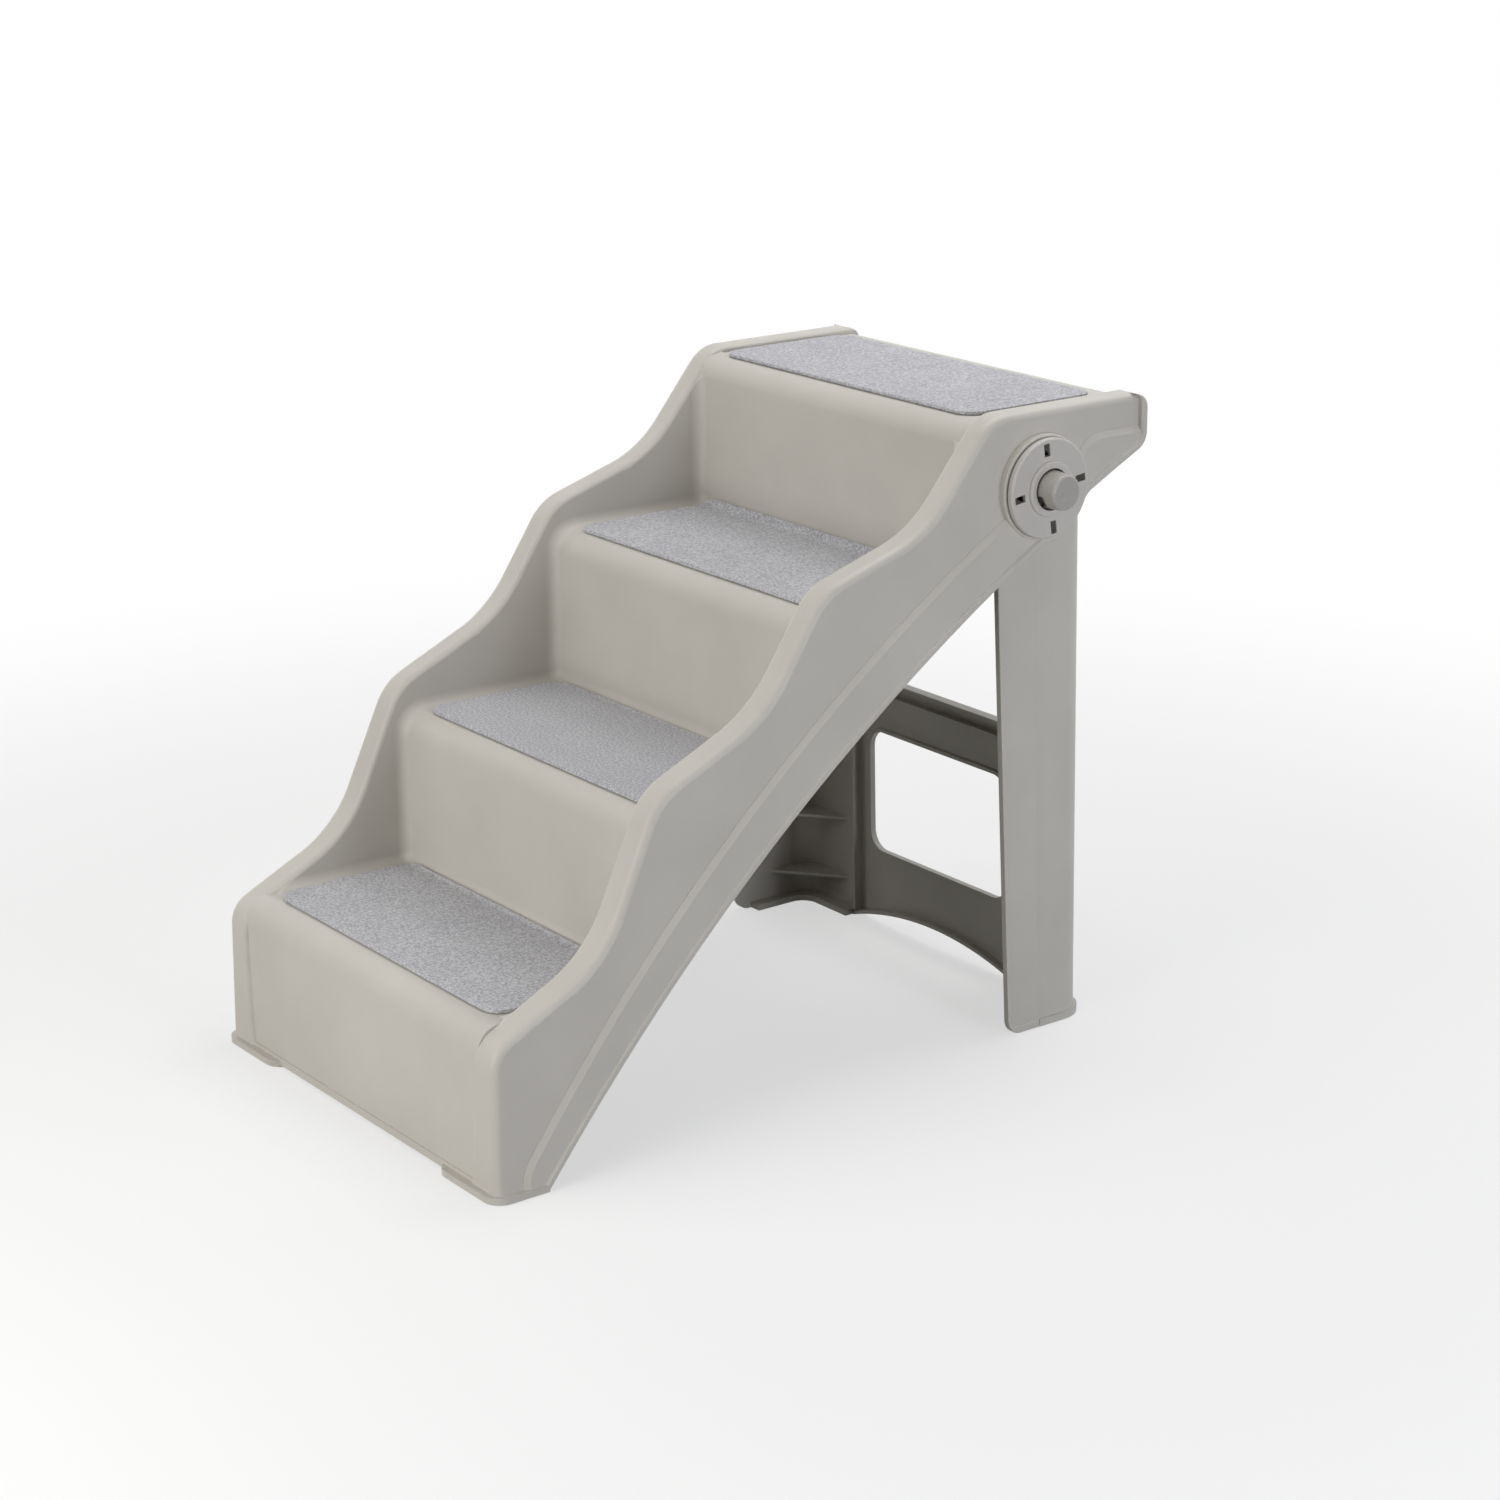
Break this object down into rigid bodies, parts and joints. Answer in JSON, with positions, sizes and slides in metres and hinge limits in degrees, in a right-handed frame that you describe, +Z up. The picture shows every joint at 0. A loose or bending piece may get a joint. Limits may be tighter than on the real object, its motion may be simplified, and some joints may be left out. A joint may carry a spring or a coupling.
{
  "type": "folding pet stairs",
  "caption": "Folding plastic pet staircase with felt-covered treads, waved side walls and a leg frame that swings on round hinges with push-button locks.",
  "frame": {"origin": "bottom centre of the whole object, on the floor", "axes": "+X to the right side as one climbs, +Y from the lowest step to the platform, +Z up"},
  "size_m": [0.4224, 0.605, 0.495],
  "materials": {
    "shell": "fine moulded grain, warm light grey",
    "hinge": "smooth moulded, warm grey",
    "felt": "needle felt, mottled cool grey",
    "adhesive": "soft film",
    "lock": "smooth nylon",
    "grip": "matte",
    "steel": "plain zinc"
  },
  "bodies": {
    "stairs": {"stair_shell": "shell", "tread_pad_1": "felt", "tread_pad_2": "felt", "tread_pad_3": "felt", "tread_pad_4": "felt", "pad_adhesive_1": "adhesive", "pad_adhesive_2": "adhesive", "pad_adhesive_3": "adhesive", "pad_adhesive_4": "adhesive", "hinge_cap_right": "hinge", "hinge_cap_left": "hinge", "foot_grip_front_right": "grip", "foot_grip_front_left": "grip"},
    "legs": {"leg_frame": "shell", "return_spring_right": "steel", "return_spring_left": "steel", "foot_grip_leg_right": "grip", "foot_grip_leg_left": "grip"},
    "button_right": {"release_button_right": "hinge", "lock_gear_right": "lock", "button_screw_right": "steel"},
    "button_left": {"release_button_left": "hinge", "lock_gear_left": "lock", "button_screw_left": "steel"}
  },
  "joints": [
    {"name": "leg_fold", "type": "hinge", "parent": "stairs", "child": "legs", "pos_m": [0, 0.198, 0.4375], "axis": [-1, 0, 0], "range_deg": [0, 48]},
    {"name": "button_press_right", "type": "slide", "parent": "legs", "child": "button_right", "axis": [-1, 0, 0], "range_m": [0, 0.008], "stiffness_N_per_m": 600, "springref_m": -0.008, "deforming": ["return_spring_right"]},
    {"name": "button_press_left", "type": "slide", "parent": "legs", "child": "button_left", "axis": [1, 0, 0], "range_m": [0, 0.008], "stiffness_N_per_m": 600, "springref_m": -0.008, "deforming": ["return_spring_left"]}
  ]
}
